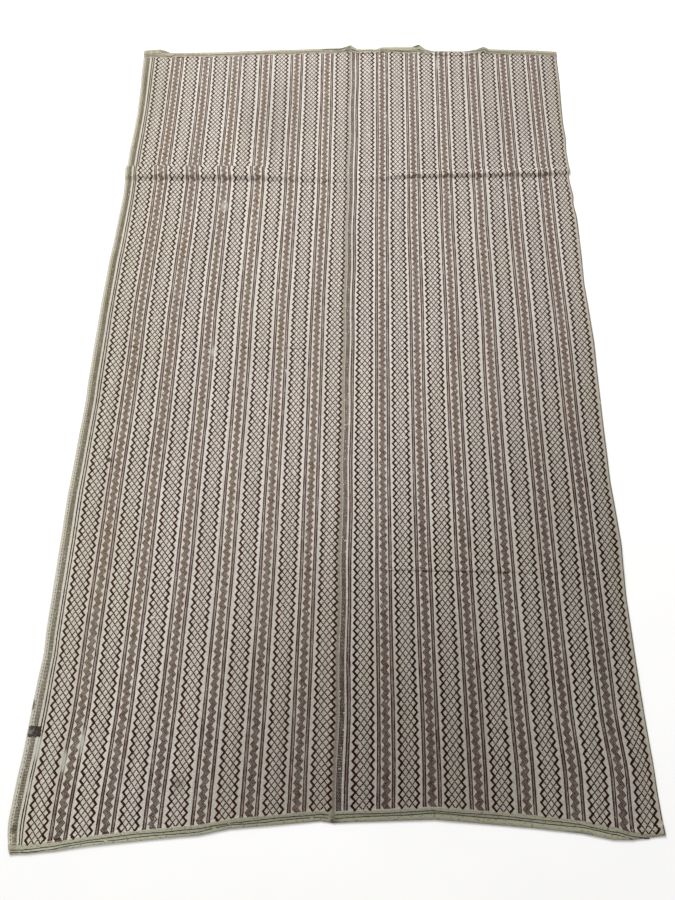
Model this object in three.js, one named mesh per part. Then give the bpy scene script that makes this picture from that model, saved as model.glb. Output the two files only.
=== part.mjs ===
// A handwoven cotton cloth of two loom widths, sewn together edge to edge up the middle and laid flat.
// Millimetres, +Z up. The cloth lies on the plane Z = 0 with its near hem towards -Y, and the origin
// is under the middle of its box. It was stored folded in four, so three soft creases cross it, and
// its far hem stands up a little in puckers.

import * as THREE from 'three';

// Sizes of the cloth
const CLOTH_THICK = 2.0;
const HEM_THICK = 3.6;
const HEM_DEPTH = 24;
const HEM_STEP = 4;
const GAP = 0.3;
const PUCKER_REACH = 70;
const CORNER_REACH = 60;

// Finishes
const CLOTH_COLOR = 0xa89a8b;
const MEND_COLOR = 0x54483f;
const CLOTH_ROUGHNESS = 0.95;

// Where the left edge, the middle seam and the right edge run, up the length of the cloth
const WIDTHS = [
  { y: -1142, left: -653, seam: 2, right: 668 },
  { y: -1118, left: -668, seam: 1, right: 668 },
  { y: -1085, left: -668, seam: -1, right: 668 },
  { y: -1047, left: -665, seam: -3, right: 665 },
  { y: -967, left: -660, seam: -1, right: 661 },
  { y: -867, left: -658, seam: 1, right: 660 },
  { y: -567, left: -657, seam: 0, right: 656 },
  { y: -167, left: -656, seam: 2, right: 657 },
  { y: 133, left: -657, seam: 3, right: 658 },
  { y: 433, left: -652, seam: 5, right: 660 },
  { y: 608, left: -649, seam: 7, right: 653 },
  { y: 733, left: -650, seam: 8, right: 661 },
  { y: 1033, left: -650, seam: 8, right: 662 },
  { y: 1142, left: -655, seam: 10, right: 668 },
];

// Places across the cloth run from -660 at the left edge, through 0 at the seam, to 660 at the right.
// The near hem's edge, bowed up at the middle
const NEAR_HEM = [
  { across: -660, y: -1142 },
  { across: -607, y: -1140 },
  { across: -556, y: -1135 },
  { across: -486, y: -1124 },
  { across: -304, y: -1105 },
  { across: -269, y: -1102 },
  { across: -204, y: -1089 },
  { across: -22, y: -1072 },
  { across: 0, y: -1075 },
  { across: 48, y: -1072 },
  { across: 196, y: -1065 },
  { across: 394, y: -1077 },
  { across: 494, y: -1085 },
  { across: 553, y: -1095 },
  { across: 593, y: -1095 },
  { across: 660, y: -1085 },
];

// The far hem's edge and how high it stands where it puckers
const FAR_HEM = [
  { across: -660, y: 1107, lift: 0 },
  { across: -610, y: 1111, lift: 3 },
  { across: -576, y: 1099, lift: 0 },
  { across: -407, y: 1105, lift: 0 },
  { across: -308, y: 1112, lift: 1 },
  { across: -109, y: 1125, lift: 0 },
  { across: -30, y: 1127, lift: 1 },
  { across: 0, y: 1132, lift: 9 },
  { across: 22, y: 1125, lift: 1 },
  { across: 80, y: 1125, lift: 1 },
  { across: 98, y: 1133, lift: 4 },
  { across: 191, y: 1134, lift: 4 },
  { across: 216, y: 1142, lift: 12 },
  { across: 239, y: 1129, lift: 3 },
  { across: 261, y: 1122, lift: 0 },
  { across: 361, y: 1122, lift: 0 },
  { across: 396, y: 1130, lift: 2 },
  { across: 423, y: 1136, lift: 9 },
  { across: 449, y: 1131, lift: 2 },
  { across: 592, y: 1130, lift: 0 },
  { across: 660, y: 1125, lift: 0 },
];

// The three storage creases: the line of each crest across the cloth, and its height there
const NEAR_CREASE = [
  { across: -660, y: -555, lift: 1.0 },
  { across: 60, y: -553, lift: 1.5 },
  { across: 200, y: -553, lift: 3.0 },
  { across: 560, y: -553, lift: 3.0 },
  { across: 660, y: -550, lift: 1.0 },
];
const MIDDLE_CREASE = [
  { across: -660, y: 26, lift: 1.5 },
  { across: -250, y: 28, lift: 2.5 },
  { across: -100, y: 28, lift: 2.5 },
  { across: 660, y: 24, lift: 1.5 },
];
const FAR_CREASE = [
  { across: -660, y: 615, lift: 5.0 },
  { across: -560, y: 618, lift: 8.0 },
  { across: -270, y: 620, lift: 8.0 },
  { across: -180, y: 612, lift: 4.5 },
  { across: -40, y: 608, lift: 3.5 },
  { across: 80, y: 613, lift: 5.0 },
  { across: 300, y: 626, lift: 7.0 },
  { across: 560, y: 636, lift: 6.5 },
  { across: 660, y: 646, lift: 4.0 },
];

// How a crease's height falls away on the near side and on the far side of its crest
const SOFT_CREASE = [
  { away: -16, share: 0 },
  { away: -7, share: 0.55 },
  { away: 0, share: 1 },
  { away: 7, share: 0.5 },
  { away: 16, share: 0 },
];
const STANDING_CREASE = [
  { away: -48, share: 0 },
  { away: -34, share: 0.3 },
  { away: -20, share: 0.85 },
  { away: -8, share: 1 },
  { away: 4, share: 0.95 },
  { away: 13, share: 0.3 },
  { away: 20, share: 0 },
];

// Rows of points between one crease and the next, and stations across each loom width
const ROWS_BETWEEN = 6;
const LEFT_STATIONS = [-660, -610, -576, -486, -407, -304, -269, -204, -109, -30, 0];
const RIGHT_STATIONS = [0, 22, 80, 98, 191, 216, 239, 261, 361, 396, 423, 449, 553, 592, 660];

// A small patch darned over a hole beside the left edge
const MEND = { left: -657, right: -630, near: -924, far: -903, thick: 1.2, rise: 0.4, bulge: 1 };

const lerp = THREE.MathUtils.lerp;

// Reads one column of a table at a place between its rows
function readTable(rows, key, place, column) {
  if (place <= rows[0][key]) return rows[0][column];
  for (let i = 1; i < rows.length; i += 1) {
    const before = rows[i - 1];
    const after = rows[i];
    if (place <= after[key]) {
      const share = (place - before[key]) / (after[key] - before[key]);
      return lerp(before[column], after[column], share);
    }
  }
  return rows[rows.length - 1][column];
}

// Lines that cross the cloth, near to far, each with its heights on both sides
const LINES = [
  {
    crest: NEAR_HEM,
    profile: [{ away: 0 }, { away: HEM_DEPTH }, { away: HEM_DEPTH + HEM_STEP }, { away: CORNER_REACH }],
  },
  { crest: NEAR_CREASE, profile: SOFT_CREASE },
  { crest: MIDDLE_CREASE, profile: SOFT_CREASE },
  { crest: FAR_CREASE, profile: STANDING_CREASE },
  {
    crest: FAR_HEM,
    profile: [
      { away: -PUCKER_REACH },
      { away: -PUCKER_REACH + HEM_DEPTH },
      { away: -HEM_DEPTH - HEM_STEP },
      { away: -HEM_DEPTH },
      { away: -HEM_DEPTH / 2 },
      { away: 0 },
    ],
  },
];

// A row of points is a distance past one line, or a share of the way on to the next line
function makeRows() {
  const rows = [];
  LINES.forEach((line, index) => {
    line.profile.forEach(({ away }) => rows.push({ line, away, next: line, nextAway: away, share: 0 }));
    if (index === LINES.length - 1) return;
    const next = LINES[index + 1];
    const away = line.profile[line.profile.length - 1].away;
    const nextAway = next.profile[0].away;
    for (let i = 1; i < ROWS_BETWEEN; i += 1) {
      rows.push({ line, away, next, nextAway, share: i / ROWS_BETWEEN });
    }
  });
  return rows;
}

function rowPlace(row, across) {
  const from = readTable(row.line.crest, 'across', across, 'y') + row.away;
  const to = readTable(row.next.crest, 'across', across, 'y') + row.nextAway;
  return lerp(from, to, row.share);
}

// Height of the underside: the creases and the puckers of the far hem
function undersideHeight(across, y) {
  let height = 0;
  for (const { crest, profile } of LINES.slice(1, -1)) {
    const away = y - readTable(crest, 'across', across, 'y');
    const first = profile[0].away;
    const last = profile[profile.length - 1].away;
    if (away > first && away < last) {
      height += readTable(crest, 'across', across, 'lift') * readTable(profile, 'away', away, 'share');
    }
  }
  const fromHem = readTable(FAR_HEM, 'across', across, 'y') - y;
  const near = Math.max(0, 1 - fromHem / PUCKER_REACH);
  return height + readTable(FAR_HEM, 'across', across, 'lift') * near * near;
}

// The hems are turned over and sewn down, so the cloth is thicker there
function clothThickness(across, y) {
  const fromNear = y - readTable(NEAR_HEM, 'across', across, 'y');
  const fromFar = readTable(FAR_HEM, 'across', across, 'y') - y;
  const inside = (Math.min(fromNear, fromFar) - HEM_DEPTH) / HEM_STEP;
  return lerp(HEM_THICK, CLOTH_THICK, THREE.MathUtils.clamp(inside, 0, 1));
}

// One closed sheet from a grid of rows of points, each with its underside and its thickness
function closedSheet(grid) {
  const columns = grid[0].length;
  const positions = [];
  grid.forEach((row) => row.forEach((p) => positions.push(p.x, p.y, p.z)));
  grid.forEach((row) => row.forEach((p) => positions.push(p.x, p.y, p.z + p.thick)));
  const top = grid.length * columns;
  const at = (r, c) => r * columns + c;
  const index = [];
  const quad = (a, b, c, d) => index.push(a, b, c, a, c, d);
  for (let r = 0; r < grid.length - 1; r += 1) {
    for (let c = 0; c < columns - 1; c += 1) {
      quad(top + at(r, c), top + at(r, c + 1), top + at(r + 1, c + 1), top + at(r + 1, c));
      quad(at(r, c), at(r + 1, c), at(r + 1, c + 1), at(r, c + 1));
    }
  }
  const rim = [];
  for (let c = 0; c < columns - 1; c += 1) rim.push(at(0, c));
  for (let r = 0; r < grid.length - 1; r += 1) rim.push(at(r, columns - 1));
  for (let c = columns - 1; c > 0; c -= 1) rim.push(at(grid.length - 1, c));
  for (let r = grid.length - 1; r > 0; r -= 1) rim.push(at(r, 0));
  rim.forEach((here, i) => {
    const next = rim[(i + 1) % rim.length];
    quad(here, next, top + next, top + here);
  });
  const geometry = new THREE.BufferGeometry();
  geometry.setAttribute('position', new THREE.Float32BufferAttribute(positions, 3));
  geometry.setIndex(index);
  geometry.computeVertexNormals();
  return geometry;
}

function makeMesh(name, geometry, color) {
  const material = new THREE.MeshStandardMaterial({ color, roughness: CLOTH_ROUGHNESS, metalness: 0 });
  material.name = `${name}_finish`;
  const mesh = new THREE.Mesh(geometry, material);
  mesh.name = name;
  return mesh;
}

// One loom width, from its outer edge to the seam or from the seam to its outer edge
function loomWidth(name, stations, startColumn, endColumn, startShift, endShift) {
  const first = stations[0];
  const last = stations[stations.length - 1];
  const grid = makeRows().map((row) => stations.map((across) => {
    const y = rowPlace(row, across);
    const start = readTable(WIDTHS, 'y', y, startColumn) + startShift;
    const end = readTable(WIDTHS, 'y', y, endColumn) + endShift;
    const x = lerp(start, end, (across - first) / (last - first));
    return { x, y, z: undersideHeight(across, y), thick: clothThickness(across, y) };
  }));
  return makeMesh(name, closedSheet(grid), CLOTH_COLOR);
}

// The patch lies on the cloth, its middle a little fuller than its corners
function mendPatch() {
  const acrossShares = [0, 0.35, 0.6, 1];
  const alongShares = [0, 0.5, 1];
  const grid = alongShares.map((along) => acrossShares.map((across) => {
    const alongMiddle = along === 0.5 ? 1 : 0;
    const acrossMiddle = across > 0 && across < 1 ? 1 : 0;
    return {
      x: lerp(MEND.left, MEND.right, across) + Math.sign(across - 0.5) * MEND.bulge * alongMiddle,
      y: lerp(MEND.near, MEND.far, along) + Math.sign(along - 0.5) * MEND.bulge * acrossMiddle,
      z: CLOTH_THICK + GAP,
      thick: MEND.thick + MEND.rise * alongMiddle * acrossMiddle,
    };
  }));
  return makeMesh('edge_mend', closedSheet(grid), MEND_COLOR);
}

const cloth = new THREE.Group();
cloth.name = 'two_width_cloth';
cloth.add(loomWidth('left_panel', LEFT_STATIONS, 'left', 'seam', 0, -GAP / 2));
cloth.add(loomWidth('right_panel', RIGHT_STATIONS, 'seam', 'right', GAP / 2, 0));
cloth.add(mendPatch());

export default cloth;
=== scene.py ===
import math

import bpy
import numpy as np
from mathutils import Euler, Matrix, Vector


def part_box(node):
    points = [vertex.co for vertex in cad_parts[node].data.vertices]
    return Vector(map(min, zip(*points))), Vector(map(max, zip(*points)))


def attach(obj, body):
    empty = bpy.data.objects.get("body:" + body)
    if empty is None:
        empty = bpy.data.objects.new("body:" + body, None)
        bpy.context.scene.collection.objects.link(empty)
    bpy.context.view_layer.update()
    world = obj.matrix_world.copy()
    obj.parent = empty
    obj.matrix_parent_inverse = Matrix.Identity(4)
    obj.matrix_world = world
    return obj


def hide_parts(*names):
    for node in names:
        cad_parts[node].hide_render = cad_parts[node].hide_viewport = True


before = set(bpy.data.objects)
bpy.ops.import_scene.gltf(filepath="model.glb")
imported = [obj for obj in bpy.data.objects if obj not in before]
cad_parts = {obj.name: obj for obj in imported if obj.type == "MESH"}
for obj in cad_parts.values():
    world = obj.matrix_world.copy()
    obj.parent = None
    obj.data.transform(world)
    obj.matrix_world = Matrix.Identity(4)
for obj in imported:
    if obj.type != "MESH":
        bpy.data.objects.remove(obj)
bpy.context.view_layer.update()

scene = bpy.context.scene

# The viewpoint: a hand-held camera at head height, just inside the near hem, looking up the cloth.
# The photograph's frame is 675 by 900, so the lens below is for a sensor 36 mm along its long side.
CAMERA_HEIGHT = 1.560
CAMERA_BEFORE_CENTRE = 0.867
CAMERA_PITCH = math.radians(68.7)
CAMERA_TURN = math.radians(1.0)
CAMERA_LENS = 27.04

eye = bpy.data.objects.new("eye", bpy.data.cameras.new("eye"))
eye.data.lens = CAMERA_LENS
eye.data.sensor_width = 36.0
eye.location = (0.0, -CAMERA_BEFORE_CENTRE, CAMERA_HEIGHT)
eye.rotation_euler = Euler((math.pi / 2 - CAMERA_PITCH, 0.0, CAMERA_TURN))
scene.collection.objects.link(eye)
scene.camera = eye


# The ground of the two loom widths.
# Each is plain-woven handspun cream cotton, with a selvedge at both sides and a turned hem at both
# ends. They lie edge to edge, creased from being kept folded in four, and yellowed at the edges.
MM = 0.001


def table(columns, rows):
    """Named columns of lengths, written in millimetres and kept in metres."""
    return dict(zip(columns.split(), np.array(rows, float).T * MM))


LEFT_EDGE = table("y x", [
    (-1142, -653), (-1132, -657), (-1107, -664), (-1082, -667), (-1007, -664), (-957, -660),
    (-907, -659), (-807, -655), (-757, -652), (-707, -655), (-507, -657), (-382, -659),
    (-257, -656), (-132, -654), (-82, -656), (168, -656), (293, -654), (343, -651),
    (418, -649), (518, -646), (568, -648), (693, -649), (768, -646), (843, -645),
    (943, -648), (993, -651), (1068, -654), (1142, -656),
])
RIGHT_EDGE = table("y x", [
    (-1142, 668), (-1085, 668), (-1007, 664), (-957, 663), (-907, 661), (-857, 659),
    (-807, 657), (-707, 656), (-607, 654), (-532, 657), (-482, 660), (-432, 658),
    (-332, 654), (-207, 655), (-107, 657), (-7, 659), (68, 661), (143, 659), (243, 656),
    (343, 659), (468, 661), (518, 656), (543, 660), (593, 654), (618, 653), (643, 658),
    (718, 656), (768, 660), (818, 658), (918, 661), (993, 664), (1068, 665), (1142, 668),
])

# How the stripes wander: the x of the first, middle and last lattice column of each width
STRIPES = table("y left_first left_middle left_last seam right_first right_middle right_last", [
    (-1142, -608, -327, -34, -6, 53, 342, 633),
    (-1047, -606, -325, -33, -6, 55, 343, 635),
    (-967, -602, -322, -32, -4, 57, 343, 639),
    (-867, -596, -319, -30, -2, 57, 341, 629),
    (-767, -596, -317, -29, -2, 56, 339, 628),
    (-567, -596, -313, -27, -1, 55, 335, 628),
    (-367, -595, -313, -26, 0, 55, 334, 627),
    (-167, -593, -311, -25, 0, 55, 333, 625),
    (0, -592, -311, -25, 1, 56, 334, 628),
    (133, -594, -313, -24, 1, 56, 337, 629),
    (283, -592, -311, -22, 2, 57, 337, 628),
    (433, -588, -309, -19, 3, 57, 337, 628),
    (533, -588, -308, -17, 4, 59, 339, 630),
    (633, -587, -308, -17, 5, 60, 339, 631),
    (733, -586, -308, -18, 6, 61, 340, 632),
    (883, -586, -308, -17, 7, 61, 342, 633),
    (1033, -588, -311, -18, 7, 61, 344, 636),
    (1142, -590, -313, -18, 9, 61, 346, 638),
])

# Places across the cloth, at the loom, of the left edge, the columns above and the right edge: 0 is
# at the seam, minus to the left, plus to the right
GUIDE_PLACES = np.array([-656, -597, -316, -24, 0, 53, 334, 626, 656]) * MM
STRIPES_SMOOTH = 40 * MM
EDGE_SMOOTH = 10 * MM
SEAM_SWAY = 1.2 * MM
SEAM_SWAY_PACE = 37 * MM

NEAR_HEM = table("across y", [
    (-660, -1142), (-607, -1140), (-556, -1135), (-486, -1124), (-304, -1105), (-269, -1102),
    (-204, -1089), (-22, -1072), (0, -1075), (48, -1072), (196, -1065), (394, -1077),
    (494, -1085), (553, -1095), (593, -1095), (660, -1085),
])
FAR_HEM = table("across y lift", [
    (-660, 1107, 0), (-610, 1111, 3), (-576, 1099, 0), (-407, 1105, 0), (-308, 1112, 1),
    (-109, 1125, 0), (-30, 1127, 1), (0, 1132, 9), (22, 1125, 1), (80, 1125, 1),
    (98, 1132, 3), (191, 1133, 4), (216, 1137, 10), (236, 1127, 3), (255, 1122, 0),
    (361, 1122, 0), (400, 1130, 2), (423, 1134, 8), (440, 1131, 2), (592, 1130, 0),
    (660, 1125, 0),
])

# Depth of the unpatterned heading, from the hem's edge to the first row of pattern
NEAR_HEADING = table("across depth", [
    (-660, 20), (-560, 20), (-400, 21), (-150, 20), (50, 22), (200, 23), (300, 24), (450, 25),
    (560, 25), (620, 10), (660, 7),
])
FAR_HEADING = table("across depth", [
    (-660, 34), (-600, 34), (-560, 19), (-100, 21), (0, 24), (60, 15), (120, 23), (220, 30),
    (270, 8), (350, 8), (400, 18), (450, 22), (660, 23),
])

NEAR_CREASE = table("across y lift", [
    (-660, -555, 0.1), (-120, -554, 0.2), (60, -553, 0.4), (130, -553, 2.3), (370, -553, 2.3),
    (430, -553, 0.9), (560, -553, 0.8), (600, -552, 0.3), (660, -550, 0.1),
])
MIDDLE_CREASE = table("across y lift", [
    (-660, 26, 0.3), (-290, 28, 0.4), (-240, 28, 1.3), (-120, 28, 1.3), (-60, 27, 0.4), (660, 24, 0.2),
])
# Its slopes: up from foot to brow on the near side, down from back to rest on the far side
FAR_CREASE = table("across y lift foot brow back rest", [
    (-660, 615, 5.0, -42, -22, 10, 14), (-560, 618, 8.0, -42, -22, 10, 14),
    (-270, 620, 8.0, -42, -22, 10, 14), (-180, 612, 4.5, -34, -14, 6, 14),
    (-40, 606, 2.2, -28, -12, 4, 15), (80, 607, 2.2, -22, -8, 3, 20),
    (160, 610, 6.0, -15, -2, 3, 26), (300, 615, 7.0, -15, -2, 3, 26),
    (560, 624, 7.0, -15, -2, 3, 26), (660, 634, 4.0, -15, -2, 3, 26),
])
CREASE_NEAR_SLOPE = 5 * MM
CREASE_FAR_SLOPE = 18 * MM
PUCKER_REACH = 70 * MM

# How far the rows of pattern lie from even spacing. The weaver's beat varied, and the rows bow up
# the cloth toward its left edge. Each width has four columns: at its first lattice column, halfway
# to the middle one, at the middle one and at the last.
BEAT_DRIFT = table("rise l1 l2 l3 l4 r1 r2 r3 r4", [
    (0, -4, -2, -1, -1, 0, 1, 0, -3), (69, -11, -6, -8, -7, -4, -1, -4, -7),
    (207, -11, -11, -14, -13, 2, 3, -1, -6), (345, -12, -17, -15, -14, 4, 4, 0, -2),
    (483, -13, -21, -17, -15, 3, 4, -1, -5), (621, -9, -16, -15, -19, 6, 3, -3, -1),
    (759, -7, -17, -16, -21, 6, 4, 0, 1), (897, -3, -14, -16, -21, 1, 2, -2, 2),
    (1035, -1, -11, -15, -19, 5, 9, 5, 10), (1173, 2, -10, -16, -22, 2, 6, 4, 10),
    (1311, 1, -12, -20, -27, 1, 7, 6, 11), (1450, 3, -12, -17, -22, 4, 11, 11, 13),
    (1588, 10, -5, -4, -14, 9, 16, 14, 16), (1726, 13, 3, -1, 3, 17, 22, 16, 22),
    (1864, 11, 1, 1, 5, 8, 20, 11, 12), (2002, 4, -5, -1, 4, 3, 9, 6, 6),
    (2175, 0, -2, -2, 0, 1, 2, 1, 1),
])
LEFT_DRIFT_PLACES = np.array([-597, -457, -316, -24]) * MM
RIGHT_DRIFT_PLACES = np.array([53, 193, 334, 626]) * MM

# The far crease folded over a little to the left while the cloth was stored
CREASE_LEAN = table("across lean", [
    (-660, 2), (-560, 5), (-280, 5), (-225, 0), (150, 0), (660, 0),
])
LEAN_FOOT, LEAN_TOP, LEAN_BACK, LEAN_END = -42 * MM, 6 * MM, 10 * MM, 14 * MM

FLOOR_GAP = 0.2 * MM
GROUND_THICK = 1.3 * MM
HEM_THICK = 2.9 * MM
HEM_DEPTH = 18 * MM
HEM_STEP = 3 * MM
HEM_EDGE_THINNER = 0.55
HEM_EDGE_REACH = 3 * MM
SEAM_GAP = 0.3 * MM
SEAM_EDGE_THICKER = 0.5 * MM
SEAM_EDGE_REACH = 5 * MM
EDGE_CURL = 1.2 * MM
EDGE_CURL_FROM = 640 * MM
EDGE_CURL_REACH = 20 * MM
EDGE_CURL_PACES = (31 * MM, 83 * MM)
PATTERN_LENGTH = 2175 * MM


def smooth(share):
    share = np.clip(share, 0, 1)
    return share * share * (3 - 2 * share)


def wander(rows, column, y, over):
    """A column of a table along the cloth, its corners rounded over a length."""
    steps = [-0.5, -0.25, 0, 0.25, 0.5]
    return sum(np.interp(y + step * over, rows["y"], rows[column]) for step in steps) / len(steps)


def along(rows, column, across):
    return np.interp(across, rows["across"], rows[column])


def cloth_x(across, y):
    """Where a place across the cloth lies, at a distance up it."""
    guides = {name: wander(STRIPES, name, y, STRIPES_SMOOTH) for name in list(STRIPES)[1:]}
    guides["seam"] = guides["seam"] + SEAM_SWAY * np.sin(y / SEAM_SWAY_PACE)
    left, right = (wander(edge, "x", y, EDGE_SMOOTH) for edge in (LEFT_EDGE, RIGHT_EDGE))
    guides = [left, *guides.values(), right]
    places = GUIDE_PLACES
    x = np.zeros_like(y)
    for i in range(len(places) - 1):
        share = (across - places[i]) / (places[i + 1] - places[i])
        inside = (share >= 0) & (share < 1) | (share < 0) & (i == 0)
        inside = inside | (share >= 1) & (i == len(places) - 2)
        x = np.where(inside, guides[i] + share * (guides[i + 1] - guides[i]), x)
    away = y - along(FAR_CREASE, "y", across)
    lean = smooth((away - LEAN_FOOT) / (LEAN_TOP - LEAN_FOOT))
    lean = lean * (1 - smooth((away - LEAN_BACK) / (LEAN_END - LEAN_BACK)))
    return x - along(CREASE_LEAN, "lean", across) * lean


def beat_drift(across, rise):
    drift = np.zeros_like(rise)
    for side, places, here in (("l", LEFT_DRIFT_PLACES, across < 0), ("r", RIGHT_DRIFT_PLACES, across >= 0)):
        for i, share_at in enumerate(np.eye(len(places))):
            share = np.where(here, np.interp(across, places, share_at), 0)
            drift = drift + share * np.interp(rise, BEAT_DRIFT["rise"], BEAT_DRIFT[f"{side}{i + 1}"])
    return drift


def pattern_ends(across):
    """How far up the cloth its first and last rows of pattern lie."""
    near = along(NEAR_HEM, "y", across) + along(NEAR_HEADING, "depth", across)
    far = along(FAR_HEM, "y", across) - along(FAR_HEADING, "depth", across)
    return near, far


def pattern_y(across, rise):
    """Distance up the cloth of a row of weaving, counted from the first row of pattern."""
    near, far = pattern_ends(across)
    return near + (far - near) * rise / PATTERN_LENGTH + beat_drift(across, rise)


def pattern_rise(across, y):
    """The row of weaving that lies at a distance up the cloth."""
    near, far = pattern_ends(across)
    return (y - near) / (far - near) * PATTERN_LENGTH


def crease_height(across, y):
    height = np.zeros_like(y)
    for crease in (NEAR_CREASE, MIDDLE_CREASE):
        away = y - along(crease, "y", across)
        slope = np.where(away < 0, -away / CREASE_NEAR_SLOPE, away / CREASE_FAR_SLOPE)
        height += along(crease, "lift", across) * (1 - smooth(slope))
    away = y - along(FAR_CREASE, "y", across)
    foot, brow, back, rest = (along(FAR_CREASE, name, across) for name in ("foot", "brow", "back", "rest"))
    climb = smooth((away - foot) / (brow - foot))
    fall = 1 - smooth((away - back) / (rest - back))
    height += along(FAR_CREASE, "lift", across) * climb * fall
    from_hem = along(FAR_HEM, "y", across) - y
    near_hem = np.clip(1 - from_hem / PUCKER_REACH, 0, 1)
    return height + along(FAR_HEM, "lift", across) * near_hem ** 2


# Low swells where the cloth doesn't quite touch the floor: the direction, length in mm, height in
# mm and start of each
SWELLS = [
    (0.4, 310, 0.35, 0.3), (1.3, 190, 0.30, 1.9), (2.4, 120, 0.22, 4.2), (2.9, 67, 0.12, 2.6),
    (0.9, 43, 0.08, 5.1),
]


def swell_height(across, y):
    height = np.zeros_like(y)
    for turn, length, high, start in SWELLS:
        run = across * math.cos(turn) + y * math.sin(turn)
        height += high * MM * (1 + np.sin(2 * math.pi * run / (length * MM) + start))
    return height


def underside(across, y):
    edge_curl = EDGE_CURL * smooth((np.abs(across) - EDGE_CURL_FROM) / EDGE_CURL_REACH)
    edge_curl = edge_curl * (1 + np.sin(y / EDGE_CURL_PACES[0]) * np.cos(y / EDGE_CURL_PACES[1]))
    return FLOOR_GAP + crease_height(across, y) + 0.5 * swell_height(across, y) + 0.5 * edge_curl


def thickness(across, y):
    from_near = y - along(NEAR_HEM, "y", across)
    from_far = along(FAR_HEM, "y", across) - y
    from_hem = np.minimum(from_near, from_far)
    hem = 1 - smooth((from_hem - HEM_DEPTH) / HEM_STEP)
    rounded = 1 - HEM_EDGE_THINNER * (1 - smooth(from_hem / HEM_EDGE_REACH))
    seam_edge = SEAM_EDGE_THICKER * (1 - smooth(np.abs(across) / SEAM_EDGE_REACH))
    return (GROUND_THICK + (HEM_THICK - GROUND_THICK) * hem + seam_edge) * rounded


def surface(across, y):
    return underside(across, y) + thickness(across, y)


# The stripe plan of one loom width: lattice columns, and between them a zigzag column with a
# double line on each side of it, placed as shares of the way from one lattice column to the next
LATTICE_STEPS = np.array([92.5, 93.2, 95.4, 99.2, 97.0, 95.6]) * MM
LATTICE_WIDTH = 40 * MM
FIRST_LINE_BEFORE = 30.3 * MM
FIRST_LINE_SHARE = 0.337
ZIGZAG_SHARE = 0.5
SECOND_LINE_SHARE = 0.663


def stripe_plan(first):
    lattices = first + np.concatenate([[0], np.cumsum(LATTICE_STEPS)])
    return {
        "lattices": lattices,
        "zigzags": lattices[:-1] + LATTICE_STEPS * ZIGZAG_SHARE,
        "lines": np.concatenate([
            lattices[:1] - FIRST_LINE_BEFORE,
            lattices[:-1] + LATTICE_STEPS * FIRST_LINE_SHARE,
            lattices[:-1] + LATTICE_STEPS * SECOND_LINE_SHARE,
        ]),
    }


# Each width: its edges and the first lattice column, all as places across the cloth
WIDTHS = {
    "left": {"start": -656 * MM, "end": 0.0, "repeats": 126, **stripe_plan(-597 * MM)},
    "right": {"start": 0.0, "end": 656 * MM, "repeats": 125, **stripe_plan(53 * MM)},
}
NODES = {"left": "left_panel", "right": "right_panel"}
STATION_GAP = 1.8 * MM
ROWS_BETWEEN = 36
LATTICE_PINK_REACH = 20.5 * MM
ZIGZAG_PINK_REACH = 12 * MM


def ground_stations(width):
    """Places across a width at which the ground has points: every stripe's edges and middle."""
    places = [width["start"], width["start"] + 2 * MM, width["end"] - 2 * MM, width["end"]]
    places += [width["start"] + 6 * MM, width["end"] - 6 * MM]
    places += [edge * MM for edge in (-648, -640, -632, -5, 5, 632, 640, 648)]
    places += list(FAR_HEM["across"]) + list(NEAR_HEM["across"])
    for centre in width["lattices"]:
        places += [centre + away * MM for away in (-22, -20, -10, 0, 10, 20, 22)]
    for centre in width["zigzags"]:
        places += [centre + away * MM for away in (-10, 0, 10)]
    places = np.array(sorted(p for p in places if width["start"] <= p <= width["end"]))
    return places[np.concatenate([[True], np.diff(places) > STATION_GAP])]


def ground_rows():
    """Rows up the cloth, as (line below, away, line above, away, share), close set at the creases."""
    hem_steps = np.array([0, 1, 3, 6, 10, 14, 18, 19.5, 21, 25, 34, 48, 60]) * MM
    soft_steps = np.array([-9, -6, -5, -4, -3, -2, -1, 0, 2, 5, 8, 11, 14, 18]) * MM
    standing_steps = np.array([
        -46, -43, -40, -37, -34, -31, -28, -25, -22, -19, -16, -13, -10, -7, -4, -1, 2, 5, 8, 10,
        11, 12, 13, 14, 16, 18, 20, 22, 24, 26, 29,
    ]) * MM
    pucker_steps = -np.array([70, 60, 52, 45, 38, 32, 27, 23, 21, 19.5, 18, 15, 12, 9, 6, 3, 1, 0]) * MM
    lines = [
        (NEAR_HEM, hem_steps), (NEAR_CREASE, soft_steps), (MIDDLE_CREASE, soft_steps),
        (FAR_CREASE, standing_steps), (FAR_HEM, pucker_steps),
    ]
    rows = []
    for (line, steps), (upper, upper_steps) in zip(lines, lines[1:] + [lines[-1]]):
        rows += [(line, step, line, step, 0.0) for step in steps]
        if upper is line:
            break
        shares = [i / ROWS_BETWEEN for i in range(1, ROWS_BETWEEN)]
        rows += [(line, steps[-1], upper, upper_steps[0], share) for share in shares]
    return rows


def pink_mask(width, across):
    """Where the ground's warp is pinker: inside the lattices, and less so beside the zigzags."""
    from_lattice = np.min(np.abs(across[..., None] - width["lattices"]), axis=-1)
    from_zigzag = np.min(np.abs(across[..., None] - width["zigzags"]), axis=-1)
    return (from_lattice < LATTICE_PINK_REACH) + 0.5 * (from_zigzag < ZIGZAG_PINK_REACH)


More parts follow.
